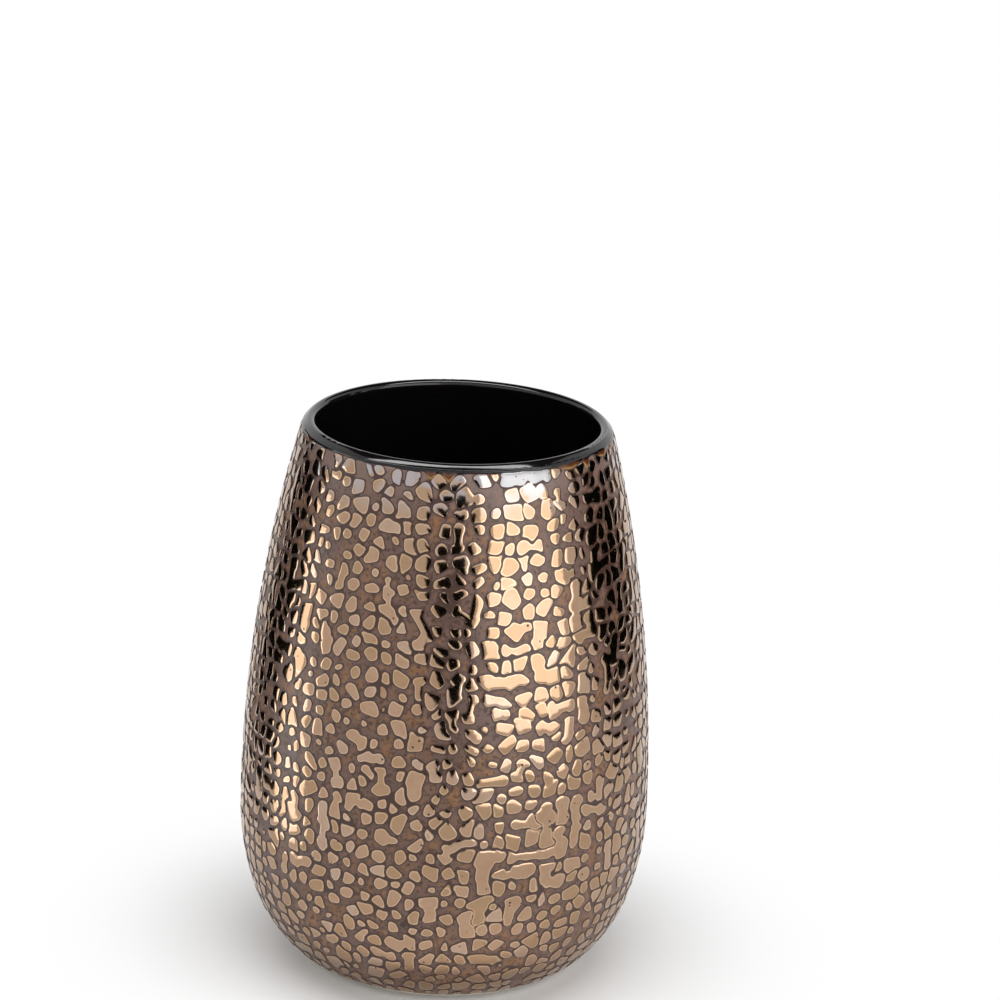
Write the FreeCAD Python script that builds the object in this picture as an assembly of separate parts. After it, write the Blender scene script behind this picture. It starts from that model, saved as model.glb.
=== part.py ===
import FreeCAD, Part
import math
import os

# Glazed outside of the cup, in millimetres and degrees
height = 115.0  # standing surface to the crest of the lip
belly_diameter = 85.0  # widest ring
belly_height = 32.5  # of the widest ring, above the standing surface
mouth_diameter = 57.5  # clear opening inside the lip
foot_inset = 12.9  # from the widest ring in to where the outside would meet the foot ring's plane
foot_slope = 37.5  # rise of the outside there
shoulder_radius = 4.0  # arc that turns the wall in to the lip
shoulder_turn = 55.0  # slope at which the shoulder passes into the crest
lip_radius = 1.1  # round crest of the lip

# Cast shell
wall = 3.6  # glazed wall at the widest ring
floor_thickness = 5.0  # between the recess below and the glazed floor inside
floor_corner_radius = 12.0  # inside, between wall and floor
foot_ring_width = 5.5  # bare ring that the recess leaves
recess_depth = 1.8
recess_draft = 20.0  # lean of the recess's side, so that it leaves its mould

# Glazes
ground_thickness = 0.3  # matt coat on the outside
bronze_thickness = 0.25  # lustre over the matt coat
base_glaze_thickness = 0.3  # in the recess
lip_band = 1.1  # drop from the crest to where lining and outside glazes meet
bare_strip = 1.0  # bare body between the foot ring and the outside glazes

# Stick-on pads in the recess
pad_count = 4
pad_diameter = 9.0
pad_stand = 0.8  # how far the pads stand out below the foot ring
pad_round = 0.7  # lower edge of a pad
pad_clearance = 1.2  # between a pad and the recess's side

# The lining is as thick as both outside coats, so that they meet flush at the lip.
lining_thickness = ground_thickness + bronze_thickness
belly_radius = belly_diameter / 2
foot_level = pad_stand
recess_level = foot_level + recess_depth
floor_level = recess_level + floor_thickness
shoulder_end = math.radians(shoulder_turn)


def point(radius, level):
    return FreeCAD.Vector(radius, 0, level)


def on_circle(centre, radius, angle):
    return point(centre[0] + radius * math.cos(angle), centre[1] + radius * math.sin(angle))


def direction(start, end):
    return math.atan2(end[1] - start[1], end[0] - start[0])


# Arc centres, each as (radius, level). The crest of the lip comes first.
crest_centre = (mouth_diameter / 2 + lip_radius, height - lip_radius)

# The shoulder touches the crest from inside, at the slope where the two meet.
shoulder_centre = (
    crest_centre[0] - (shoulder_radius - lip_radius) * math.cos(shoulder_end),
    crest_centre[1] - (shoulder_radius - lip_radius) * math.sin(shoulder_end),
)

# The wall is upright at the widest ring and runs smoothly into the shoulder.
shoulder_in = shoulder_centre[0] - belly_radius
shoulder_up = shoulder_centre[1] - belly_height
wall_radius = (shoulder_radius**2 - shoulder_in**2 - shoulder_up**2) / (2 * (shoulder_in + shoulder_radius))
wall_centre = (belly_radius - wall_radius, belly_height)
wall_end = direction(wall_centre, shoulder_centre)

# The inside of the wall is upright at the same level and runs smoothly into the crest.
crest_in = crest_centre[0] - belly_radius + wall
crest_up = crest_centre[1] - belly_height
inside_radius = (crest_in**2 + crest_up**2 - lip_radius**2) / (2 * (lip_radius - crest_in))
inside_centre = (belly_radius - wall - inside_radius, belly_height)
inside_end = direction(inside_centre, crest_centre)

# Below the widest ring, two arcs lead smoothly from upright to the foot's slope. Each runs as far
# along its end's tangent as the other does, which sets where they meet.
foot_radius = belly_radius - foot_inset
foot_rise = math.radians(foot_slope)
drop = belly_height - foot_level
square_part = 2 * (1 - math.sin(foot_rise))
linear_part = 2 * (foot_inset * math.cos(foot_rise) + drop * (1 + math.sin(foot_rise)))
constant_part = foot_inset**2 + drop**2
tangent_run = (math.sqrt(linear_part**2 + 4 * square_part * constant_part) - linear_part) / (2 * square_part)
meeting_radius = (belly_radius + foot_radius + tangent_run * math.cos(foot_rise)) / 2
meeting_drop = (drop + tangent_run * (1 - math.sin(foot_rise))) / 2
meeting_inset = belly_radius - meeting_radius
lower_belly_radius = (meeting_inset**2 + meeting_drop**2) / (2 * meeting_inset)
lower_centre = (belly_radius - lower_belly_radius, belly_height)
lower_end = -math.asin(meeting_drop / lower_belly_radius)
foot_corner_radius = (meeting_radius - foot_radius) / (math.cos(lower_end) - math.sin(foot_rise))
foot_centre = (
    meeting_radius - foot_corner_radius * math.cos(lower_end),
    belly_height - meeting_drop - foot_corner_radius * math.sin(lower_end),
)

# Inside, the lower belly is concentric with the outside, and a round corner leads to the floor.
inside_lower_radius = lower_belly_radius - wall
corner_drop = floor_level + floor_corner_radius - belly_height
corner_reach = math.sqrt((inside_lower_radius - floor_corner_radius) ** 2 - corner_drop**2)
corner_centre = (lower_centre[0] + corner_reach, floor_level + floor_corner_radius)
corner_end = direction(lower_centre, corner_centre)

# Where the outside glazes stop, at the lip and above the foot
glaze_line = math.asin((height - lip_band - shoulder_centre[1]) / shoulder_radius)
coat_end = -math.asin((foot_centre[1] - foot_level - bare_strip) / foot_corner_radius)


def arc(centre, radius, start, end):
    middle = on_circle(centre, radius, (start + end) / 2)
    return Part.Arc(on_circle(centre, radius, start), middle, on_circle(centre, radius, end)).toShape()


def outside(depth, foot_angle):
    """The outside at a depth below the glaze, from near the foot up to the glaze line."""
    return [
        arc(foot_centre, foot_corner_radius - depth, foot_angle, lower_end),
        arc(lower_centre, lower_belly_radius - depth, lower_end, 0),
        arc(wall_centre, wall_radius - depth, 0, wall_end),
        arc(shoulder_centre, shoulder_radius - depth, wall_end, glaze_line),
    ]


def inside(depth):
    """The lip and the inside at a depth below the glaze, from the glaze line to the middle of the floor."""
    corner_floor = point(corner_centre[0], floor_level - depth)
    return [
        arc(shoulder_centre, shoulder_radius - depth, glaze_line, shoulder_end),
        arc(crest_centre, lip_radius - depth, shoulder_end, math.pi + inside_end),
        arc(inside_centre, inside_radius + depth, inside_end, 0),
        arc(lower_centre, inside_lower_radius + depth, 0, corner_end),
        arc(corner_centre, floor_corner_radius + depth, corner_end, -math.pi / 2),
        Part.makeLine(corner_floor, point(0, floor_level - depth)),
    ]


same_place = 1e-6  # ends this close count as one


def joined(*stretches):
    """One edge list, with a straight edge wherever a stretch ends apart from the start of the next."""
    edges = []
    for stretch in stretches:
        edges.extend(stretch)
    closed = []
    for edge, following in zip(edges, edges[1:] + edges[:1]):
        closed.append(edge)
        gap_start = edge.lastVertex(True).Point
        gap_end = following.firstVertex(True).Point
        if gap_start.distanceToPoint(gap_end) > same_place:
            closed.append(Part.makeLine(gap_start, gap_end))
    return closed


def backwards(edges):
    return [Part.Edge(edge.reversed()) for edge in reversed(edges)]


def turned(edges):
    """The solid that a closed outline makes when it is turned about the cup's axis."""
    outline = Part.Wire(Part.__sortEdges__(edges))
    return Part.Face(outline).revolve(FreeCAD.Vector(), FreeCAD.Vector(0, 0, 1), 360)


def straight_run(*corners):
    ends = [point(*corner) for corner in corners]
    return [Part.makeLine(start, end) for start, end in zip(ends, ends[1:])]


# Underside of the body: bare foot ring, recess side and recess ceiling
body_foot_radius = foot_corner_radius - lining_thickness
body_foot_angle = -math.asin((foot_centre[1] - foot_level) / body_foot_radius)
ring_outer = foot_centre[0] + body_foot_radius * math.cos(body_foot_angle)
ring_inner = ring_outer - foot_ring_width
draft = math.tan(math.radians(recess_draft))
recess_radius = ring_inner - recess_depth * draft


def ceramic_body():
    underside = straight_run(
        (0, recess_level), (recess_radius, recess_level), (ring_inner, foot_level), (ring_outer, foot_level)
    )
    shell = outside(lining_thickness, body_foot_angle) + inside(lining_thickness)
    return turned(joined(underside, shell))


def lining_glaze():
    return turned(joined(inside(0), backwards(inside(lining_thickness))))


def outside_coat(outer_depth, inner_depth):
    return turned(joined(outside(outer_depth, coat_end), backwards(outside(inner_depth, coat_end))))


def base_glaze():
    lower_level = recess_level - base_glaze_thickness
    lower_radius = recess_radius + base_glaze_thickness * draft
    disc = straight_run(
        (0, lower_level), (lower_radius, lower_level), (recess_radius, recess_level), (0, recess_level)
    )
    return turned(joined(disc))


def foot_pad(index):
    pad_top = recess_level - base_glaze_thickness
    pad_radius = pad_diameter / 2
    round_centre = (pad_radius - pad_round, pad_round)
    sole = straight_run((0, pad_top), (0, 0), (round_centre[0], 0))
    edge = [arc(round_centre, pad_round, -math.pi / 2, 0)]
    side = straight_run((pad_radius, pad_round), (pad_radius, pad_top), (0, pad_top))
    pad = turned(joined(sole, edge, side))
    spread = recess_radius - pad_clearance - pad_radius
    angle = 360 * (index + 0.5) / pad_count
    pad.translate(point(spread, 0))
    pad.rotate(FreeCAD.Vector(), FreeCAD.Vector(0, 0, 1), angle)
    return pad


parts = {
    "ceramic_body": ceramic_body(),
    "lining_glaze": lining_glaze(),
    "ground_glaze": outside_coat(bronze_thickness, lining_thickness),
    "bronze_glaze": outside_coat(0, bronze_thickness),
    "base_glaze": base_glaze(),
}
for pad_index in range(pad_count):
    parts[f"foot_pad_{pad_index + 1}"] = foot_pad(pad_index)

os.makedirs("parts", exist_ok=True)
for node, shape in parts.items():
    print(node, len(shape.Solids), shape.isValid(), round(shape.Volume, 2))
    shape.exportStep(f"parts/{node}.step")
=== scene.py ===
import math

import bpy
import numpy as np
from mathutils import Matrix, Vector
from mathutils.geometry import delaunay_2d_cdt


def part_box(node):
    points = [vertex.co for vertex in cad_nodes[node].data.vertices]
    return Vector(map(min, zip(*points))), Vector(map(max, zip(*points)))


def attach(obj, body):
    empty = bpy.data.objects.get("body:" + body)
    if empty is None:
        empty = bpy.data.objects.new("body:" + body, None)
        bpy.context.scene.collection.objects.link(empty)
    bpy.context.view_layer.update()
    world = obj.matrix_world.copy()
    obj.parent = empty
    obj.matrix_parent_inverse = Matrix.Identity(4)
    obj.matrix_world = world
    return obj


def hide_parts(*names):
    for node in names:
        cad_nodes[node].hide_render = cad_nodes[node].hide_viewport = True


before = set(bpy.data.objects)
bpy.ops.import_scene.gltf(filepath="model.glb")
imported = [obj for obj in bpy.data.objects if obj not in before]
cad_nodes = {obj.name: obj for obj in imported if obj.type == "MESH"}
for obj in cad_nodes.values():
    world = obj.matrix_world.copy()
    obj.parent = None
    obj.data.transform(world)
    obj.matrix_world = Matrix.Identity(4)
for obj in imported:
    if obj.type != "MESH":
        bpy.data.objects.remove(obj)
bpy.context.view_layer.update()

# Stoneware body: a slip-cast shell of buff clay. Only the foot ring is bare, wiped clean so that it
# would not stick to the kiln shelf, and it shows the grit and the iron specks of the clay.


def add_node(tree, kind, **settings):
    node = tree.nodes.new(kind)
    for setting, value in settings.items():
        setattr(node, setting, value)
    return node


def feed(tree, socket, value):
    """Sets a socket to a constant, or links another socket to it."""
    if isinstance(value, bpy.types.NodeSocket):
        tree.links.new(value, socket)
    else:
        socket.default_value = value


def place(tree):
    """Position on the cup, in metres."""
    return add_node(tree, "ShaderNodeTexCoord").outputs["Object"]


def clouds(tree, size, detail=2.0):
    """Soft pattern from 0 to 1, with features of about this size."""
    node = add_node(tree, "ShaderNodeTexNoise")
    feed(tree, node.inputs["Vector"], place(tree))
    feed(tree, node.inputs["Scale"], 1 / size)
    feed(tree, node.inputs["Detail"], detail)
    return node.outputs["Fac"]


def fitted(tree, value, low, high, to_low=0.0, to_high=1.0):
    """Value carried smoothly from one range to another, and held at its ends."""
    node = add_node(tree, "ShaderNodeMapRange", interpolation_type="SMOOTHSTEP")
    feed(tree, node.inputs["Value"], value)
    feed(tree, node.inputs["From Min"], low)
    feed(tree, node.inputs["From Max"], high)
    feed(tree, node.inputs["To Min"], to_low)
    feed(tree, node.inputs["To Max"], to_high)
    return node.outputs["Result"]


def mixed(tree, amount, start, end):
    """Colour that goes from start to end as the amount goes from 0 to 1."""
    node = add_node(tree, "ShaderNodeMix", data_type="RGBA")
    sockets = {socket.identifier: socket for socket in node.inputs}
    feed(tree, sockets["Factor_Float"], amount)
    feed(tree, sockets["A_Color"], start)
    feed(tree, sockets["B_Color"], end)
    return next(socket for socket in node.outputs if socket.identifier == "Result_Color")


def worked(tree, operation, first, second):
    node = add_node(tree, "ShaderNodeMath", operation=operation)
    feed(tree, node.inputs[0], first)
    feed(tree, node.inputs[1], second)
    return node.outputs[0]


def raised(tree, height, depth):
    """Normal of a surface with this height pattern, whose full swing is the depth in metres."""
    node = add_node(tree, "ShaderNodeBump")
    feed(tree, node.inputs["Height"], height)
    feed(tree, node.inputs["Distance"], depth)
    return node.outputs["Normal"]


def colour(red, green, blue):
    return (red, green, blue, 1.0)


def new_material(name):
    """A material, its node tree and its main shader."""
    material = bpy.data.materials.new(name)
    material.use_nodes = True
    return material, material.node_tree, material.node_tree.nodes["Principled BSDF"]


def finish_shader(tree, shader, **values):
    """Sets the shader's inputs by name, to constants or sockets."""
    for name, value in values.items():
        feed(tree, shader.inputs[name.replace("_", " ")], value)


def show_in(material, *names):
    for name in names:
        mesh = cad_nodes[name].data
        mesh.materials.clear()
        mesh.materials.append(material)


iron = colour(0.018, 0.011, 0.008)
largest_speck = 0.16  # radius, as a share of the specks' spacing
speck_edge = (0.02, 0.1)  # where a speck starts to fade and where it ends, beyond its radius


def iron_specks():
    """Node group: dark specks where iron in the clay burns through whatever lies over it."""
    group = bpy.data.node_groups.new("iron_specks", "ShaderNodeTree")
    group.interface.new_socket("Color", in_out="INPUT", socket_type="NodeSocketColor")
    group.interface.new_socket("Spacing", in_out="INPUT", socket_type="NodeSocketFloat")
    group.interface.new_socket("Share", in_out="INPUT", socket_type="NodeSocketFloat")
    group.interface.new_socket("Color", in_out="OUTPUT", socket_type="NodeSocketColor")
    group.interface.new_socket("Speck", in_out="OUTPUT", socket_type="NodeSocketFloat")
    given = add_node(group, "NodeGroupInput")
    result = add_node(group, "NodeGroupOutput")
    cells = add_node(group, "ShaderNodeTexVoronoi")
    feed(group, cells.inputs["Vector"], place(group))
    feed(group, cells.inputs["Scale"], worked(group, "DIVIDE", 1.0, given.outputs["Spacing"]))
    split = add_node(group, "ShaderNodeSeparateColor")
    feed(group, split.inputs["Color"], cells.outputs["Color"])
    chosen = worked(group, "LESS_THAN", split.outputs["Red"], given.outputs["Share"])
    speck_size = worked(group, "MULTIPLY", split.outputs["Green"], largest_speck)
    beyond_speck = worked(group, "SUBTRACT", cells.outputs["Distance"], speck_size)
    speck = worked(group, "MULTIPLY", fitted(group, beyond_speck, *speck_edge, 1.0, 0.0), chosen)
    feed(group, result.inputs["Color"], mixed(group, speck, given.outputs["Color"], iron))
    feed(group, result.inputs["Speck"], speck)
    return group


specks = iron_specks()


def specked(tree, base, spacing, share):
    """Base colour with iron specks, and where they are."""
    node = add_node(tree, "ShaderNodeGroup", node_tree=specks)
    feed(tree, node.inputs["Color"], base)
    feed(tree, node.inputs["Spacing"], spacing)
    feed(tree, node.inputs["Share"], share)
    return node.outputs["Color"], node.outputs["Speck"]


stoneware, tree, shader = new_material("bare_stoneware")
clay = mixed(tree, clouds(tree, 0.006), colour(0.56, 0.49, 0.4), colour(0.66, 0.6, 0.51))
clay, _ = specked(tree, clay, 0.0012, 0.2)
grit = raised(tree, clouds(tree, 0.0004, 4.0), 0.00006)
finish_shader(tree, shader, Base_Color=clay, Roughness=0.85, Normal=grit)
show_in(stoneware, "ceramic_body")

# Lining and base glaze: a black gloss glaze, poured into the cup and over its lip, and dipped into
# the recess below. It settles almost mirror smooth, with a slow waviness, and is amber where it thins.
black_glaze, tree, shader = new_material("black_glaze")
thin_edge = add_node(tree, "ShaderNodeAttribute", attribute_name="thin_edge").outputs["Fac"]
body_colour = mixed(tree, clouds(tree, 0.01), colour(0.003, 0.0025, 0.0025), colour(0.005, 0.004, 0.004))
amber = mixed(tree, fitted(tree, thin_edge, 0.55, 0.9), colour(0.08, 0.026, 0.009), colour(0.3, 0.155, 0.045))
waviness = raised(tree, clouds(tree, 0.009, 1.0), 0.00005)
finish_shader(
    tree,
    shader,
    Base_Color=mixed(tree, fitted(tree, thin_edge, 0.1, 0.4), body_colour, amber),
    Specular_IOR_Level=0.42,
    Roughness=fitted(tree, clouds(tree, 0.012), 0.35, 0.7, 0.07, 0.12),
    Normal=waviness,
)
show_in(black_glaze, "lining_glaze", "base_glaze")

# Ground glaze: a matt mauve-brown glaze sprayed over the whole outside. It is seen between the
# cells of the lustre that lies on it, bluish near their edges and ochre where the gaps are wide, so
# the cells are laid out here too.
randoms = np.random.default_rng(41)
coat_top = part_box("bronze_glaze")[1]
lustre_thickness = coat_top.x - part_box("ground_glaze")[1].x
ground_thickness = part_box("ground_glaze")[1].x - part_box("ceramic_body")[1].x


def outside_of(*names):
    """Radii and levels of the outline that these nodes show outwards, from the foot up."""
    spots = set()
    for name in names:
        for vertex in cad_nodes[name].data.vertices:
            spots.add((round(vertex.co.z, 6), round(math.hypot(vertex.co.x, vertex.co.y), 6)))
    outline = []
    for level, radius in sorted(spots):
        while len(outline) > 1:
            (level_1, radius_1), (level_2, radius_2) = outline[-2:]
            if (level_2 - level_1) * (radius - radius_1) < (radius_2 - radius_1) * (level - level_1):
                break
            outline.pop()
        outline.append((level, radius))
    return np.array([spot[1] for spot in outline]), np.array([spot[0] for spot in outline])


ring_radii, ring_levels = outside_of("bronze_glaze", "lining_glaze")
ring_runs = np.concatenate([[0], np.cumsum(np.hypot(np.diff(ring_radii), np.diff(ring_levels)))])
run_steps = 4000
runs = np.linspace(0, ring_runs[-1], run_steps)
before = np.clip(np.searchsorted(ring_runs, runs) - 1, 0, len(ring_runs) - 2)
gap = ring_runs[before + 1] - ring_runs[before]
share = (runs - ring_runs[before]) / gap


def smooth_through(values):
    """Smooth curve through the outline's rings."""
    slopes = np.gradient(values, ring_runs)
    start = (1 + 2 * share) * (1 - share) ** 2 * values[before]
    end = share**2 * (3 - 2 * share) * values[before + 1]
    bend = share * (1 - share) ** 2 * slopes[before] - share**2 * (1 - share) * slopes[before + 1]
    return start + end + gap * bend


radii = smooth_through(ring_radii)
levels = smooth_through(ring_levels)
facing_out = np.gradient(levels, runs)
facing_up = -np.gradient(radii, runs)
glaze_line = np.interp(coat_top.z, levels, runs)
first_turn = math.pi / 2  # turns start at the back


def on_coat(turn, run, lift):
    """Points at a turn from the back, a run up the outside and a lift above it."""
    out = np.interp(run, runs, facing_out)
    up = np.interp(run, runs, facing_up)
    radius = np.interp(run, runs, radii) + lift * out
    level = np.interp(run, runs, levels) + lift * up
    turn = turn + first_turn
    return np.stack([radius * np.cos(turn), radius * np.sin(turn), level], axis=-1)


def waves(length, count=14):
    """A random smooth pattern over turn and run, of about this wavelength and mostly from -1 to 1."""
    headings, phases = randoms.uniform(0, 2 * math.pi, (2, count))
    around = np.round(2 * math.pi * coat_top.x / length * np.cos(headings))
    along = 2 * math.pi / length * np.sin(headings)

    def swell(turn, run):
        total = 0
        for wave in range(count):
            total = total + np.sin(around[wave] * turn + along[wave] * run + phases[wave])
        return total / math.sqrt(count)

    return swell


# The pattern is a distance to the nearest edge of a cell, negative inside, over columns and rows.
column_count = 1100
row_count = 520
column_turn = 2 * math.pi / column_count
row_run = glaze_line / (row_count - 1)
row_radii = np.interp(np.arange(row_count) * row_run, runs, radii)
merge = 0.0001  # rounding where shapes of one cell meet
farthest_told = 0.003  # distances are kept up to here
nearest = np.full((row_count, column_count), farthest_told)
second = nearest.copy()  # distance to the nearest cell but one
owner = np.full(nearest.shape, -1)  # which cell is nearest


def smooth_least(first, other, rounding):
    return -rounding * np.logaddexp(-first / rounding, -other / rounding)


def stamp(cell, turn, run, reach, distance):
    """Adds a shape to a cell. The shape is a distance over offsets from its middle."""
    middle_row = round(run / row_run)
    half_rows = math.ceil(reach / row_run)
    rows = np.arange(max(0, middle_row - half_rows), min(row_count, middle_row + half_rows + 1))
    middle_column = round(turn / column_turn)
    half_columns = math.ceil(reach / (row_radii[rows].min() * column_turn))
    columns = np.arange(middle_column - half_columns, middle_column + half_columns + 1)
    across = (columns[None, :] * column_turn - turn) * row_radii[rows][:, None]
    along = (rows * row_run - run)[:, None]
    window = (rows[:, None], columns[None, :] % column_count)
    away, best, next_best, held = distance(across, along), nearest[window], second[window], owner[window]
    same = held == cell
    second[window] = np.where(same, next_best, np.minimum(next_best, np.maximum(best, away)))
    nearest[window] = np.where(same, smooth_least(best, away, merge), np.minimum(best, away))
    owner[window] = np.where(away < best, cell, held)


def pebble(directions, reaches, farthest, corner):
    """A rounded polygon, as a smooth maximum of its sides and of a disc that blunts its corners."""

    def distance(across, along):
        sides = np.exp((np.hypot(across, along) - farthest) / corner)
        for direction, reach in zip(directions, reaches):
            side = across * math.cos(direction) + along * math.sin(direction) - reach
            sides = sides + np.exp(side / corner)
        return corner * np.log(sides)

    return distance


def neck(end_across, end_along, half_width):
    """A short bar from the middle to an end, rounded at both."""

    def distance(across, along):
        share = (across * end_across + along * end_along) / (end_across**2 + end_along**2)
        share = np.clip(share, 0, 1)
        return np.hypot(across - share * end_across, along - share * end_along) - half_width

    return distance


cell_pitch = 0.0035  # along a row
row_pitch = 0.0033
cell_rows = round(glaze_line / row_pitch)
columns_step = 6  # neighbouring rows often hold as many cells, so loose columns form
turn_scatter = 0.16  # as a share of the pitch
run_scatter = 0.0005
cell_size = 0.0015  # radius of a disc as large as a usual cell
size_scatter = 0.0003
smallest_cell, largest_cell = 0.00065, 0.0022

# Where more lustre lies, cells are larger and join more often. Little of it lies near the foot.
fullness = waves(0.035)
full_turn = 3.6  # where the lustre was sprayed thickest
full_half_turn = 0.5
full_extra = 1.2
foot_lack, foot_lack_run = 3, 0.009
size_gain = 0.0001
usual_joining = 0.05  # chance that a cell joins a neighbour
beside_joining, below_joining = 0.7, 1.3  # as shares of it
thinnest_neck, thickest_neck = 0.4, 0.8  # half widths, as shares of the cell's size
neck_window = 0.006

# Cells are polygons with uneven corners and sides, drawn out one way and blunted by a disc.
side_counts = [3, 4, 4, 5, 5, 6]
corner_scatter = 0.13
longest_stretch = 0.36
shortest_side, longest_side = 0.8, 1.2
blunting = 1.45
sharpest_corner, softest_corner = 0.00012, 0.0003
cell_window = 0.003


def sprayed_full(turn):
    """How near a turn is to where the lustre was sprayed thickest, from 0 to 1."""
    return np.exp(-(((turn - full_turn) / full_half_turn) ** 2))


# Just below the lip one patch of the lustre ran together in uneven lobes and went silvery.
silver_cell = 0
patch_turn = 3.6
cell_turns = [patch_turn]  # turn of each cell, by its number
patch_half_turn = 0.2
patch_depth = 0.0045
# Each lobe has a turn, a drop below the glaze line, a slant and the reaches of its four sides.
silver_patch = [
    (3.6, 0.0011, 0.0, (0.0056, 0.0014, 0.0056, 0.0011)),
    (3.47, 0.0024, 0.5, (0.0015, 0.0016, 0.0013, 0.0015)),
    (3.55, 0.0021, -0.25, (0.0016, 0.001, 0.0018, 0.0009)),
    (3.66, 0.0019, 0.3, (0.0021, 0.0011, 0.0015, 0.001)),
    (3.74, 0.0016, 0.7, (0.0012, 0.0013, 0.0011, 0.0014)),
]
square_on = np.arange(4) * math.pi / 2
lobe_blunting = 0.0065
lobe_corner = 0.0004
lobe_window = 0.008
for turn, drop, slant, reaches in silver_patch:
    lobe = pebble(square_on + slant, reaches, lobe_blunting, lobe_corner)
    stamp(silver_cell, turn, glaze_line - drop, lobe_window, lobe)

row_below = []  # turn, run and cell of each shape in the row below
for cell_row in range(cell_rows):
    run = (cell_row + 0.5) * glaze_line / cell_rows
    radius = np.interp(run, runs, radii)
    count = columns_step * round(2 * math.pi * radius / cell_pitch / columns_step)
    turns = (np.arange(count) + 0.5 + randoms.normal(0, turn_scatter, count)) * 2 * math.pi / count
    cell_runs = run + randoms.normal(0, run_scatter, count)
    full = fullness(turns, cell_runs) + full_extra * sprayed_full(turns)
    full = full - foot_lack * math.exp(-run / foot_lack_run)
    sizes = cell_size + size_gain * full + randoms.normal(0, size_scatter, count)
    sizes = np.clip(sizes, smallest_cell, largest_cell)
    row = []
    for turn, cell_run, size, joining in zip(turns, cell_runs, sizes, usual_joining + usual_joining * full):
        if abs(turn - patch_turn) < patch_half_turn and cell_run > glaze_line - patch_depth:
            continue
        cell = len(cell_turns)
        cell_turns.append(turn)
        neighbours = [(shape, beside_joining * joining) for shape in row[-1:]]
        if row_below:
            shape_below = min(row_below, key=lambda shape: abs(shape[0] - turn))
            neighbours.append((shape_below, below_joining * joining))
        for (other_turn, other_run, other_cell), chance in neighbours:
            if randoms.random() < chance:
                cell = other_cell
                half_width = size * randoms.uniform(thinnest_neck, thickest_neck)
                bar = neck((other_turn - turn) * radius, other_run - cell_run, half_width)
                stamp(cell, turn, cell_run, neck_window, bar)
                break
        sides = randoms.choice(side_counts)
        directions = (np.arange(sides) + randoms.normal(0, corner_scatter, sides)) * 2 * math.pi / sides
        directions = directions + randoms.uniform(0, 2 * math.pi)
        stretch = randoms.uniform(0, longest_stretch)
        stretch = stretch * np.cos(2 * (directions - randoms.uniform(0, math.pi)))
        same_area = math.sqrt(math.pi / (sides * math.tan(math.pi / sides)))
        reaches = size * same_area * (1 + stretch) * randoms.uniform(shortest_side, longest_side, sides)
        corner = randoms.uniform(sharpest_corner, softest_corner)
        stamp(cell, turn, cell_run, cell_window, pebble(directions, reaches, blunting * size, corner))
        row.append((turn, cell_run, cell))
    row_below = row

# The lustre draws back from the lines midway between cells and leaves channels there.
grid_turns = np.arange(column_count) * column_turn
grid_runs = np.arange(row_count) * row_run
channel_width, channel_swing = 0.00062, 0.00014
full_narrowing = 0.00025
channel_rounding = 0.00009
channel = channel_width + channel_swing * waves(0.02)(grid_turns[None, :], grid_runs[:, None])
channel = channel - full_narrowing * sprayed_full(grid_turns)[None, :]
between = (second - nearest) / 2  # distance to the line midway between cells
pattern = -smooth_least(-nearest, between - channel / 2, channel_rounding)

# The black glaze has run this far down over the glaze line.
usual_edge, narrowest_edge = 0.0003, 0.0002
slow_swing, quick_swing = 0.0001, 0.00006
edge_runs = usual_edge + slow_swing * waves(0.012)(grid_turns, 0) + quick_swing * waves(0.003)(grid_turns, 0)
# Each drip has a turn, a half width as a turn and a drop.
drips = [
    (3.0, 0.028, 0.0016),
    (3.11, 0.034, 0.0019),
    (3.93, 0.09, 0.0012),
    (4.1, 0.03, 0.0022),
    (4.32, 0.08, 0.0011),
    (4.52, 0.06, 0.0015),
    (1.75, 0.06, 0.0013),
    (1.95, 0.05, 0.0009),
    (5.6, 0.1, 0.0014),
    (0.4, 0.05, 0.0016),
]
for drip_turn, width, drop in drips:
    edge_runs = edge_runs + drop * np.exp(-(((grid_turns - drip_turn) / width) ** 2))
edge_runs = np.maximum(edge_runs, narrowest_edge)

# The lustre stops short of the foot and of the black glaze, but the silvery patch meets the black.
foot_gap = 0.0006
lip_gap = 0.0002
patch_steepness = 3  # added where the patch ends at the black
by_patch = np.exp(-(((grid_turns - patch_turn) / patch_half_turn) ** 4))
below_edge = glaze_line - edge_runs[None, :] - grid_runs[:, None]
pattern = np.maximum(pattern, foot_gap - grid_runs[:, None])
past_gap = lip_gap * (1 - by_patch) - below_edge
pattern = np.maximum(pattern, (1 + patch_steepness * by_patch) * past_gap)


def sampled(grid, column, row):
    """Values of a grid between its columns and rows."""
    end = 1.001  # just short of the last column or row
    column = np.clip(column, 0, grid.shape[1] - end)
    row = np.clip(row, 0, grid.shape[0] - end)
    left, low = column.astype(int), row.astype(int)
    right_share, high_share = column - left, row - low
    lower = grid[low, left] * (1 - right_share) + grid[low, left + 1] * right_share
    upper = grid[low + 1, left] * (1 - right_share) + grid[low + 1, left + 1] * right_share
    return lower * (1 - high_share) + upper * high_share


def new_mesh(name, points, faces, material):
    mesh = bpy.data.meshes.new(name)
    mesh.from_pydata(points, [], faces)
    mesh.polygons.foreach_set("use_smooth", np.ones(len(mesh.polygons), bool))
    mesh.materials.append(material)
    piece = bpy.data.objects.new(name, mesh)
    bpy.context.scene.collection.objects.link(piece)
    return piece


def ring_skin(name, points, material):
    """Closed skin over a loop of rings, given as an array of ring by column by coordinate."""
    rings, columns = points.shape[:2]
    corners = np.arange(rings * columns).reshape(rings, columns)
    above, beside = np.roll(corners, -1, axis=0), np.roll(corners, -1, axis=1)
    faces = np.stack([corners, beside, np.roll(above, -1, axis=1), above], axis=-1).reshape(-1, 4)
    return new_mesh(name, points.reshape(-1, 3).tolist(), faces.tolist(), material)


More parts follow.
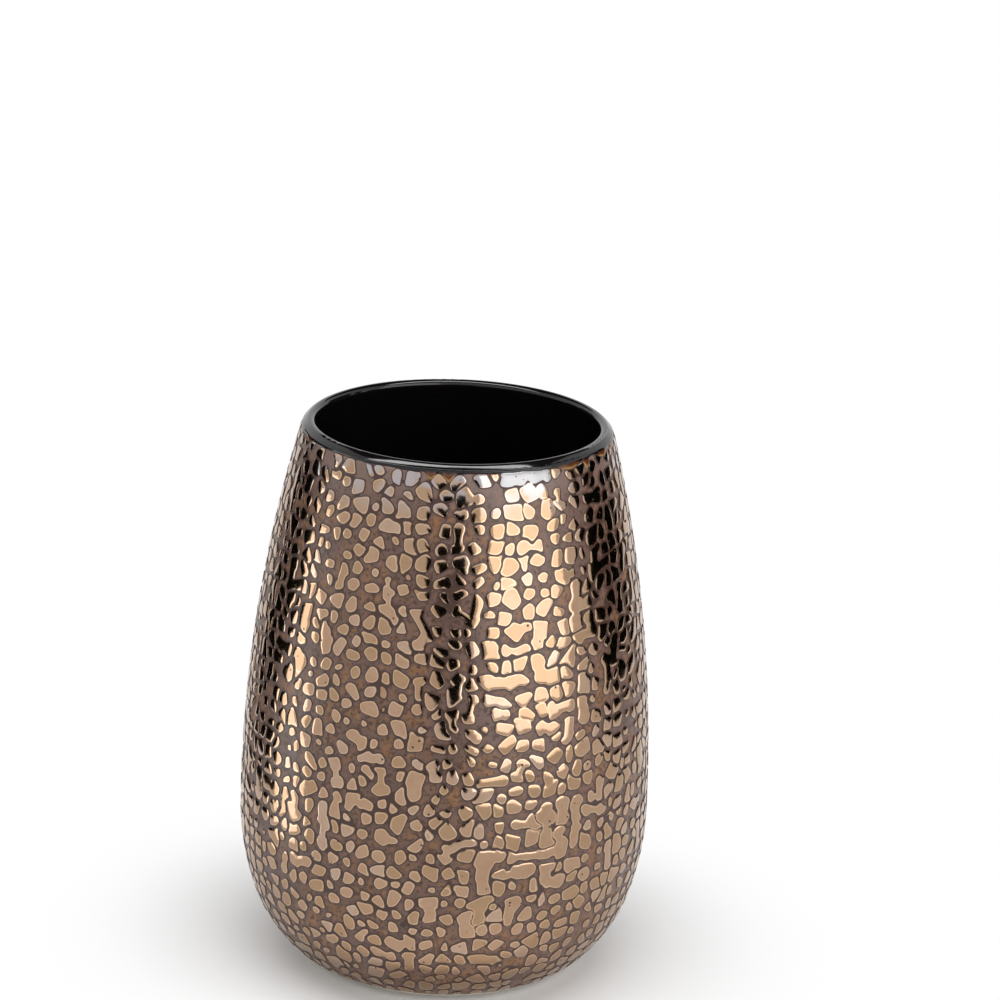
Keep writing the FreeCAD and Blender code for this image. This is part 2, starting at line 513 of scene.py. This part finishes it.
def give(piece, name, values):
    attribute = piece.data.attributes.new(name, "FLOAT", "POINT")
    attribute.data.foreach_set("value", np.ascontiguousarray(values, dtype=np.float32).ravel())


ground_columns = 320
ground_rows = 150
back_rows = 40
ground_unevenness = 0.00002
open_gap = 0.001  # this far from the nearest cell the ground is fully open
ground_turns = np.arange(ground_columns) * 2 * math.pi / ground_columns
front_runs = np.linspace(0, glaze_line, ground_rows)
back_runs = np.linspace(glaze_line, 0, back_rows)
turn_grid, run_grid = np.meshgrid(ground_turns, front_runs)
front_lift = -lustre_thickness - ground_unevenness * (1 + waves(0.005)(turn_grid, run_grid) / 3)
front = on_coat(turn_grid, run_grid, front_lift)
turn_back, run_back = np.meshgrid(ground_turns, back_runs)
back = on_coat(turn_back, run_back, np.full(turn_back.shape, -lustre_thickness - ground_thickness))
openness = np.clip(sampled(pattern, turn_grid / column_turn, run_grid / row_run) / open_gap, 0, 1)

matt_glaze, tree, shader = new_material("matt_brown_glaze")
open_share = add_node(tree, "ShaderNodeAttribute", attribute_name="openness").outputs["Fac"]
near_cells = mixed(tree, clouds(tree, 0.007), colour(0.07, 0.038, 0.03), colour(0.145, 0.081, 0.063))
in_gaps = mixed(tree, clouds(tree, 0.003, 3.0), colour(0.08, 0.031, 0.011), colour(0.29, 0.14, 0.056))
patchy = fitted(tree, clouds(tree, 0.009), 0.35, 0.6)
wide = worked(tree, "MULTIPLY", fitted(tree, open_share, 0.32, 0.7), patchy)
ground_colour = mixed(tree, wide, near_cells, in_gaps)
mottled = fitted(tree, clouds(tree, 0.0008, 3.0), 0.45, 0.7)
ground_colour = mixed(tree, mottled, ground_colour, colour(0.05, 0.02, 0.009))
ground_level = add_node(tree, "ShaderNodeSeparateXYZ")
feed(tree, ground_level.inputs[0], place(tree))
grey_start, grey_full = coat_top.z - 0.009, coat_top.z - 0.002  # the ground greys towards the lip
greyed = fitted(tree, ground_level.outputs["Z"], grey_start, grey_full, 0.0, 0.7)
ground_colour = mixed(tree, greyed, ground_colour, colour(0.155, 0.105, 0.088))
ground_colour, _ = specked(tree, ground_colour, 0.0011, 0.1)
finish_shader(
    tree,
    shader,
    Base_Color=ground_colour,
    Roughness=fitted(tree, clouds(tree, 0.002), 0.3, 0.7, 0.31, 0.46),
    Normal=raised(tree, clouds(tree, 0.0005, 3.0), 0.00004),
)
ground = ring_skin("ground_coat", np.concatenate([front, back]), matt_glaze)
give(ground, "openness", np.concatenate([openness, np.zeros(turn_back.shape)]))
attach(ground, "root")
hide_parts("ground_glaze")

# Glaze run at the lip: where the black lining was poured over the lip it ran a little way down over
# the outside coats, in an uneven edge that thins to amber.
run_columns = 900
run_turns = np.arange(run_columns) * 2 * math.pi / run_columns
edge = np.interp(run_turns, grid_turns, edge_runs, period=2 * math.pi)
# Each ring is a share of the run's width below the glaze line or a height above it, then a lift.
run_section = [
    (0.0, 0.0006, -0.00004),
    (0.0, 0.0003, 0.000012),
    (0.0, 0.0, 0.00002),
    (0.35, 0.0, -0.00002),
    (0.65, 0.0, -0.00009),
    (0.88, 0.0, -0.00017),
    (1.0, 0.0, -0.00027),
    (0.8, 0.0, -0.0004),
    (0.0, 0.0, -0.0004),
    (0.0, 0.0004, -0.0003),
]
# The black thins to amber where it ran furthest.
amber_start, amber_full = 0.0005, 0.0011
dripping = np.clip((edge - amber_start) / (amber_full - amber_start), 0, 1)
run_rings = []
run_thinness = []
for below, above, lift in run_section:
    run_rings.append(on_coat(run_turns, glaze_line + above - below * edge, np.full(run_columns, lift)))
    run_thinness.append(below * dripping)
lip_run = ring_skin("lip_run", np.array(run_rings[::-1]), black_glaze)
give(lip_run, "thin_edge", np.array(run_thinness[::-1]))
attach(lip_run, "root")

# Bronze lustre: a metal-bearing glaze that crawls into pebble cells as it is fired and stays there
# as low, glossy islands. Their rims are rounded, and a dark line is burnt into the ground round them.
skirt = 0.00036  # width of the dark line and of the bluish halo round it
wall = 0.00007  # width of the steep edge of a cell
wall_height = 0.00014
rim = 0.00075  # width over which the top of a cell rounds off
sunk = 0.00004  # how far the skirt's edge lies in the ground
under_depth = 0.00008  # how far the underside does
skirt_rise = 0.00002
tilt_depth = 0.00003  # of the slow unevenness of the cells' tops

# Columns beyond both ends continue the pattern, so that cells across the start of the turns stay
# whole. Each cell is kept at one end only, and there the skirts of neighbours don't touch.
margin_columns = 120
seam_half_turn = 0.2
seam_half_gap = 0.00017
columns = np.arange(-margin_columns, column_count + margin_columns)
around = columns * column_turn
pattern, between, owner = (grid[:, columns % column_count] for grid in (pattern, between, owner))
by_seam = np.minimum(np.abs(around), np.abs(around - 2 * math.pi)) < seam_half_turn
pattern = np.where(by_seam, np.maximum(pattern, skirt + seam_half_gap - between), pattern)
kept_elsewhere = np.abs(np.array(cell_turns)[owner] - around) > math.pi
pattern = np.where(kept_elsewhere, np.maximum(pattern, skirt + seam_half_gap), pattern)


def outlines(level):
    """Closed outlines where the pattern crosses a level, as columns and rows, cells on their left."""
    rows, columns = pattern.shape
    inside = (pattern < level).astype(int)
    code = inside[:-1, :-1] + 2 * inside[:-1, 1:] + 4 * inside[1:, 1:] + 8 * inside[1:, :-1]
    low = np.arange((rows - 1) * columns).reshape(rows - 1, columns)[:, :-1]
    high = low + columns
    left = low + rows * columns
    right = left + 1
    ways = {
        1: [(low, left)],
        2: [(right, low)],
        3: [(right, left)],
        4: [(high, right)],
        5: [(low, left), (high, right)],
        6: [(high, low)],
        7: [(high, left)],
        8: [(left, high)],
        9: [(low, high)],
        10: [(right, low), (left, high)],
        11: [(right, high)],
        12: [(left, right)],
        13: [(low, right)],
        14: [(left, low)],
    }
    following = {}
    for kind, steps in ways.items():
        chosen = code == kind
        for source, target in steps:
            following.update(zip(source[chosen].tolist(), target[chosen].tolist()))
    loops = []
    while following:
        first, edge = following.popitem()
        loop = [first]
        while edge != first:
            loop.append(edge)
            edge = following.pop(edge)
        loops.append(np.array(loop))
    found = []
    for loop in loops:
        upright = loop >= rows * columns
        row, column = np.divmod(loop - upright * rows * columns, columns)
        start = pattern[row, column]
        end = pattern[row + upright, column + ~upright]
        share = (level - start) / (end - start)
        found.append(np.column_stack([column + share * ~upright, row + share * upright]))
    return found


fewest_points = 6  # on an outline


def spaced(loop, spacing, shortest):
    """Points at even steps along a closed outline, or none if the outline is too short."""
    closed = np.vstack([loop, loop[:1]])
    widths = np.interp(closed[:-1, 1], np.arange(row_count), row_radii) * column_turn
    steps = np.hypot(np.diff(closed[:, 0]) * widths, np.diff(closed[:, 1]) * row_run)
    walked = np.concatenate([[0], np.cumsum(steps)])
    if walked[-1] < shortest:
        return np.zeros((0, 2))
    count = max(fewest_points, round(walked[-1] / spacing))
    at = np.arange(count) * walked[-1] / count
    return np.column_stack([np.interp(at, walked, closed[:, 0]), np.interp(at, walked, closed[:, 1])])


def reached(triangles, fences, seeds):
    """Marks the triangles that are reached from the seeds without crossing a fence, a pair of points."""
    base = triangles.max() + 1
    sides = np.sort(np.stack([triangles, np.roll(triangles, -1, axis=1)], axis=-1), axis=-1)
    codes = (sides[..., 0] * base + sides[..., 1]).ravel()
    order = np.argsort(codes)
    paired = codes[order][:-1] == codes[order][1:]
    one, other = order[:-1][paired], order[1:][paired]
    beyond = np.full(len(codes), -1)
    beyond[one], beyond[other] = other // 3, one // 3
    low, high = np.sort(fences, axis=1).T
    beyond[np.isin(codes, low * base + high)] = -1
    beyond = beyond.reshape(-1, 3)
    found = np.zeros(len(triangles), bool)
    front = np.flatnonzero(seeds)
    while len(front):
        found[front] = True
        ahead = np.unique(beyond[front])
        front = ahead[(ahead >= 0) & ~found[ahead]]
    return found


def directed(triangles, base):
    """A number for each side of each triangle, and one for the same side the other way."""
    following = np.roll(triangles, -1, axis=1)
    return triangles * base + following, following * base + triangles


# Skirts are kept whole, apart from pinholes. Other outlines only guide the triangles.
shortest = 0.001
shortest_hole = 0.003
outline_spacings = [  # level of an outline and the spacing of its points
    (skirt, 0.0007),
    (0.5 * skirt, 0.0006),
    (wall, 0.00055),
    (0.0, 0.0005),
    (-0.3 * rim, 0.00055),
    (-0.65 * rim, 0.0007),
]
same_point, same_buried_point = 1e-5, 1e-9  # points this close are one, in columns and rows
flat_points, flat_edges = [], []
for level, spacing in outline_spacings:
    for loop in outlines(level):
        ahead = np.roll(loop, -1, axis=0)
        hole = np.sum(loop[:, 0] * ahead[:, 1] - ahead[:, 0] * loop[:, 1]) < 0
        if level == skirt:
            loop = spaced(loop, spacing, shortest_hole if hole else 0.0)
        else:
            loop = spaced(loop, spacing, shortest)
        first = len(flat_points)
        flat_points.extend(Vector(point) for point in loop)
        flat_edges.extend((first + k, first + (k + 1) % len(loop)) for k in range(len(loop)))
    if level == skirt:
        skirt_edges = len(flat_edges)
flat, sides, triangles, _, sources, _ = delaunay_2d_cdt(flat_points, flat_edges, [], 0, same_point, True)
flat, triangles = np.array(flat), np.array(triangles)
fences = [side for side, source in zip(sides, sources) if any(edge < skirt_edges for edge in source)]
middles = flat[triangles].mean(axis=1)
top_faces = triangles[reached(triangles, np.array(fences), sampled(pattern, *middles.T) < 0)]
used, top_faces = np.unique(top_faces, return_inverse=True)
tops, top_faces = flat[used], top_faces.reshape(-1, 3)

# Each skirt goes down into the ground along its edge and is closed there by an underside.
going, coming = directed(top_faces, len(tops))
edge_codes = going[~np.isin(going, coming)]
edge_ends = np.column_stack(np.divmod(edge_codes, len(tops)))
buried, buried_ends = np.unique(edge_ends, return_inverse=True)
buried_ends = buried_ends.reshape(-1, 2)
buried_points = [Vector(point) for point in tops[buried]]
_, _, triangles, sources, _, _ = delaunay_2d_cdt(
    buried_points, buried_ends.tolist(), [], 0, same_buried_point, True
)
triangles = np.array([source[0] for source in sources])[np.array(triangles)]
going, _ = directed(triangles, len(buried))
at_edge = np.isin(going, buried_ends[:, 0] * len(buried) + buried_ends[:, 1]).any(axis=1)
under_faces = triangles[reached(triangles, buried_ends, at_edge)][:, ::-1] + len(tops)
side_faces = np.column_stack([edge_ends[:, ::-1], buried_ends + len(tops)])

# Heights follow the distance from a cell's edge: skirt, steep edge, rounded rim and flat top.
top_turns, top_runs = (tops[:, 0] - margin_columns) * column_turn, tops[:, 1] * row_run
distance = sampled(pattern, tops[:, 0], tops[:, 1])
inward = np.clip(-distance / rim, 0, 1)
outward = np.clip(distance / skirt, 0, 1)
up_wall = np.clip(1 - distance / wall, 0, 1)
dome = lustre_thickness - skirt_rise - wall_height - tilt_depth
height = skirt_rise + wall_height * up_wall + dome * (1 - (1 - inward) ** 2) - (skirt_rise + sunk) * outward
fall = np.where(distance < 0.5 * wall, 2 * dome / rim * (1 - inward), (skirt_rise + sunk) / skirt)
tilt = waves(0.007)
uneven = tilt_depth * inward
height = height + uneven * np.clip(tilt(top_turns, top_runs), -1, 1)
points = on_coat(top_turns, top_runs, height - lustre_thickness)
under_lift = np.full(len(buried), -lustre_thickness - under_depth)
points = np.concatenate([points, on_coat(top_turns[buried], top_runs[buried], under_lift)])

# Normals come from the pattern itself, so that the tops reflect smoothly.
coat_radii = np.interp(top_runs, runs, radii)
slope_row, slope_column = np.gradient(pattern)
step = 0.0001
tilt_across = (tilt(top_turns + step / coat_radii, top_runs) - tilt(top_turns, top_runs)) / step
tilt_along = (tilt(top_turns, top_runs + step) - tilt(top_turns, top_runs)) / step
lean_across = fall * sampled(slope_column, *tops.T) / (column_turn * coat_radii) - uneven * tilt_across
lean_along = fall * sampled(slope_row, *tops.T) / row_run - uneven * tilt_along
angle = top_turns + first_turn
out, up = np.interp(top_runs, runs, facing_out), np.interp(top_runs, runs, facing_up)
level_way = np.stack([np.cos(angle), np.sin(angle), np.zeros(len(angle))], axis=-1)
turn_way = np.stack([-np.sin(angle), np.cos(angle), np.zeros(len(angle))], axis=-1)
upright = np.array([0.0, 0.0, 1.0])
normals = (out - lean_along * up)[:, None] * level_way + lean_across[:, None] * turn_way
normals = normals + (up + lean_along * out)[:, None] * upright
normals = normals / np.linalg.norm(normals, axis=1)[:, None]
normals = np.concatenate([normals, -normals[buried]])
cell_at = owner[np.rint(tops[:, 1]).astype(int), np.rint(tops[:, 0]).astype(int)]
cell_tints = randoms.random(len(cell_turns) + 1)  # the last is for places without a cell

bronze, tree, shader = new_material("bronze_lustre")
outside_cell = add_node(tree, "ShaderNodeAttribute", attribute_name="outside_cell").outputs["Fac"]
tint = add_node(tree, "ShaderNodeAttribute", attribute_name="cell_tint").outputs["Fac"]
inside_cell = add_node(tree, "ShaderNodeAttribute", attribute_name="inside_cell").outputs["Fac"]
silver_share = add_node(tree, "ShaderNodeAttribute", attribute_name="silver").outputs["Fac"]
metal = mixed(tree, fitted(tree, tint, 0.3, 0.6), colour(0.375, 0.243, 0.148), colour(0.42, 0.275, 0.183))
metal = mixed(tree, fitted(tree, tint, 0.82, 1.0), metal, colour(0.45, 0.32, 0.24))
metal = mixed(tree, fitted(tree, clouds(tree, 0.002), 0.35, 0.75, 0.0, 0.35), metal, colour(0.34, 0.2, 0.11))
# A paler metal colour is painted in a thin band just inside each cell's edge: a painted highlight standing in
# for the reflection of bright surroundings along the rounded rim.
rim_highlight_start = fitted(tree, inside_cell, 0.027, 0.093)
painted_rim_highlight = worked(tree, "MULTIPLY", rim_highlight_start, fitted(tree, inside_cell, 0.13, 0.32, 0.55, 0.0))
metal = mixed(tree, painted_rim_highlight, metal, colour(0.66, 0.49, 0.34))
near_lip = add_node(tree, "ShaderNodeSeparateXYZ")
feed(tree, near_lip.inputs[0], place(tree))
silver_start, silver_full = coat_top.z - 0.011, coat_top.z - 0.002  # the top rows turn silvery
high_up = fitted(tree, near_lip.outputs["Z"], silver_start, silver_full)
silvery = worked(tree, "MULTIPLY", high_up, fitted(tree, clouds(tree, 0.004), 0.4, 0.6))
metal = mixed(tree, silvery, metal, colour(0.41, 0.375, 0.38))
metal, pin = specked(tree, metal, 0.0012, 0.13)
speckled_silver, _ = specked(tree, colour(0.34, 0.335, 0.335), 0.0007, 0.6)
metal = mixed(tree, silver_share, metal, speckled_silver)
line = fitted(tree, outside_cell, 0.04, 0.12)
halo = mixed(tree, clouds(tree, 0.004), colour(0.09, 0.043, 0.028), colour(0.115, 0.05, 0.03))
burnt = mixed(tree, fitted(tree, outside_cell, 0.45, 0.9), colour(0.04, 0.015, 0.008), halo)
lustre_roughness = fitted(tree, line, 0.0, 1.0, 0.1, 0.36)
silver_dulling = worked(tree, "MULTIPLY", silver_share, 0.25)
finish_shader(
    tree,
    shader,
    Base_Color=mixed(tree, line, metal, burnt),
    Metallic=worked(tree, "SUBTRACT", 1.0, worked(tree, "MAXIMUM", line, pin)),
    Roughness=worked(tree, "ADD", lustre_roughness, silver_dulling),
    Normal=raised(tree, clouds(tree, 0.0015, 1.0), 0.000012),
)
faces = top_faces.tolist() + side_faces.tolist() + under_faces.tolist()
cells = new_mesh("bronze_cells", points.tolist(), faces, bronze)
cells.data.normals_split_custom_set_from_vertices(normals.tolist())
every_point = np.concatenate([np.arange(len(tops)), buried])
give(cells, "outside_cell", outward[every_point])
give(cells, "inside_cell", inward[every_point])
give(cells, "cell_tint", cell_tints[cell_at][every_point])
give(cells, "silver", (cell_at == silver_cell)[every_point])
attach(cells, "root")
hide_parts("bronze_glaze")

# Foot pads: four round pads of soft dark rubber, punched from a sheet with a sticky back and
# pressed into the recess. They stand out a little below the bare foot ring.
rubber, tree, shader = new_material("pad_rubber")
finish_shader(
    tree,
    shader,
    Base_Color=mixed(tree, clouds(tree, 0.002), colour(0.04, 0.04, 0.042), colour(0.06, 0.06, 0.062)),
    Roughness=0.7,
    Normal=raised(tree, clouds(tree, 0.0003, 3.0), 0.00003),
)
show_in(rubber, "foot_pad_1", "foot_pad_2", "foot_pad_3", "foot_pad_4")

# Studio: a round white board, two softboxes at the sides, a strip light overhead, and black flags
# that give the bronze its dark bands. Flags and lamps are seen in reflections only.
floor_radius = 0.118
floor_rings = np.linspace(0.002, floor_radius, 24)
floor_columns = 96
floor_turns = np.arange(floor_columns) * 2 * math.pi / floor_columns
floor_level = -0.0001  # just clear of the pads
floor_points = [(0.0, 0.0, floor_level)]
for ring in floor_rings:
    floor_points += [(ring * math.cos(turn), ring * math.sin(turn), floor_level) for turn in floor_turns]
floor_faces = [(0, 1 + k, 1 + (k + 1) % floor_columns) for k in range(floor_columns)]
for ring in range(len(floor_rings) - 1):
    inner = 1 + floor_columns * ring
    outer = inner + floor_columns
    for k in range(floor_columns):
        beside = (k + 1) % floor_columns
        floor_faces.append((inner + k, outer + k, outer + beside, inner + beside))
board, tree, shader = new_material("white_board")
finish_shader(
    tree,
    shader,
    Base_Color=colour(0.75, 0.75, 0.75),
    Roughness=0.6,
    Emission_Color=colour(1, 1, 1),
    Emission_Strength=0.06,
)
# Away from the cup the board fades to plain white, to the eye and in reflections.
distance_out = add_node(tree, "ShaderNodeVectorMath", operation="LENGTH")
feed(tree, distance_out.inputs[0], place(tree))
shadow_start, shadow_end = 0.036, 0.1
shadow_left = fitted(tree, distance_out.outputs["Value"], shadow_start, shadow_end, 1.0, 0.0)
shown_fade = worked(tree, "SUBTRACT", 1.0, worked(tree, "MULTIPLY", shadow_left, shadow_left))
reflected_start, reflected_end = 0.045, 0.095
reflected_fade = fitted(tree, distance_out.outputs["Value"], reflected_start, reflected_end)
rays = add_node(tree, "ShaderNodeLightPath")
reflected = worked(tree, "MAXIMUM", rays.outputs["Is Glossy Ray"], rays.outputs["Is Transmission Ray"])
reflected = worked(tree, "MULTIPLY", reflected_fade, reflected)
shown = worked(tree, "MULTIPLY", shown_fade, rays.outputs["Is Camera Ray"])
glow = add_node(tree, "ShaderNodeEmission")
blend = add_node(tree, "ShaderNodeMixShader")
feed(tree, blend.inputs[0], worked(tree, "MAXIMUM", shown, reflected))
feed(tree, blend.inputs[1], shader.outputs[0])
feed(tree, blend.inputs[2], glow.outputs[0])
# From below the board is clear, so that it doesn't hide the underside.
from_above = add_node(tree, "ShaderNodeMixShader")
feed(tree, from_above.inputs[0], add_node(tree, "ShaderNodeNewGeometry").outputs["Backfacing"])
feed(tree, from_above.inputs[1], blend.outputs[0])
feed(tree, from_above.inputs[2], add_node(tree, "ShaderNodeBsdfTransparent").outputs[0])
feed(tree, tree.nodes["Material Output"].inputs["Surface"], from_above.outputs[0])
floor = new_mesh("white_board", floor_points, floor_faces, board)

flag_black, tree, shader = new_material("flag_black")
finish_shader(tree, shader, Base_Color=colour(0.004, 0.004, 0.004), Roughness=1.0, Specular_IOR_Level=0.0)
card_reach = 0.5  # from the cup's axis


def round_cup(azimuth, level, facing):
    """Point on a card that stands square to the facing azimuth, in degrees from the camera's side."""
    turned, aside = math.radians(facing), math.tan(math.radians(azimuth - facing))
    outward = Vector((math.sin(turned), -math.cos(turned), 0))
    sideways = Vector((math.cos(turned), math.sin(turned), 0))
    return tuple(card_reach * (outward + aside * sideways) + Vector((0, 0, level)))


def flat_card(name, points, material):
    """A flat card through these points, seen in reflections only."""
    piece = new_mesh(name, points, [tuple(range(len(points)))], material)
    piece.visible_camera = False
    piece.visible_shadow = False
    piece.visible_transmission = False
    return piece


def card(name, material, corners):
    """A standing card, its corners given by azimuths and levels."""
    facing = sum(azimuth for azimuth, level in corners) / len(corners)
    return flat_card(name, [round_cup(azimuth, level, facing) for azimuth, level in corners], material)


def lamp(name, strength):
    """Material of a lamp's evenly lit front."""
    material, tree, _ = new_material(name)
    glow = add_node(tree, "ShaderNodeEmission")
    feed(tree, glow.inputs["Strength"], strength)
    feed(tree, tree.nodes["Material Output"].inputs["Surface"], glow.outputs[0])
    return material


softbox = lamp("softbox", 2.8)
strip_light = lamp("strip_light", 11.0)
cards = [
    card(
        "flag_front",
        flag_black,
        [(-2, -0.01), (4, -0.055), (9, -0.055), (13, 0.0), (12, 0.06), (9.5, 0.2), (-14.5, 0.2), (-10, 0.08)],
    ),
    card(
        "flag_left",
        flag_black,
        [(-139, -0.14), (-105, -0.14), (-104, -0.06), (-97, 0.03), (-100, 0.2), (-146, 0.2), (-131, 0.0)],
    ),
    card("flag_right", flag_black, [(104, -0.07), (134, -0.07), (132, 0.3), (85, 0.3), (89, 0.0)]),
    card(
        "softbox_left",
        softbox,
        [(-104, -0.3), (-82, -0.3), (-84, 0.12), (-96, 0.12), (-96, 0.03), (-103, -0.06)],
    ),
    card("softbox_right", softbox, [(18, -0.05), (70, -0.05), (70, 0.55), (18, 0.55)]),
]
strip_level = 0.7
strip_corners = [(-0.65, -0.06), (-0.3, -0.13), (0.3, -0.13), (0.5, -0.06), (0.3, 0.01), (-0.3, 0.01)]
strip = [(across, along, strip_level) for across, along in strip_corners]
cards.append(flat_card("strip_light", strip, strip_light))
ceiling_level = 0.8
ceiling_corners = [(-0.6, -0.42), (0.6, -0.42), (0.6, 1.2), (-0.6, 1.2)]
ceiling = [(across, along, ceiling_level) for across, along in ceiling_corners]
cards.append(flat_card("flag_ceiling", ceiling, flag_black))

# The surroundings are white to the eye and in reflections, and light the cup a little less.
world = bpy.data.worlds.new("studio")
bpy.context.scene.world = world
world.use_nodes = True
tree = world.node_tree
rays = add_node(tree, "ShaderNodeLightPath")
direct = worked(tree, "MAXIMUM", rays.outputs["Is Camera Ray"], rays.outputs["Is Glossy Ray"])
direct = worked(tree, "MAXIMUM", direct, rays.outputs["Is Transmission Ray"])
feed(tree, tree.nodes["Background"].inputs["Color"], colour(1, 1, 1))
feed(tree, tree.nodes["Background"].inputs["Strength"], fitted(tree, direct, 0.0, 1.0, 0.8, 1.0))

# The camera looks down on the cup as in the photograph, a little to the right of its axis and rolled.
camera_data = bpy.data.cameras.new("camera")
camera_data.lens = 135
camera_data.sensor_width = 36
camera_aim = Vector((0.00916, 0, 0.0984))
camera_rise = math.radians(17.86)
camera_away = 0.7637
camera_roll = math.radians(2.38)
camera = bpy.data.objects.new("camera", camera_data)
camera.location = camera_aim + camera_away * Vector((0, -math.cos(camera_rise), math.sin(camera_rise)))
camera.rotation_euler = (math.pi / 2 - camera_rise, 0, 0)
camera.rotation_euler.rotate_axis("Z", camera_roll)
bpy.context.scene.collection.objects.link(camera)
bpy.context.scene.camera = camera
bpy.context.scene.view_settings.view_transform = "Standard"
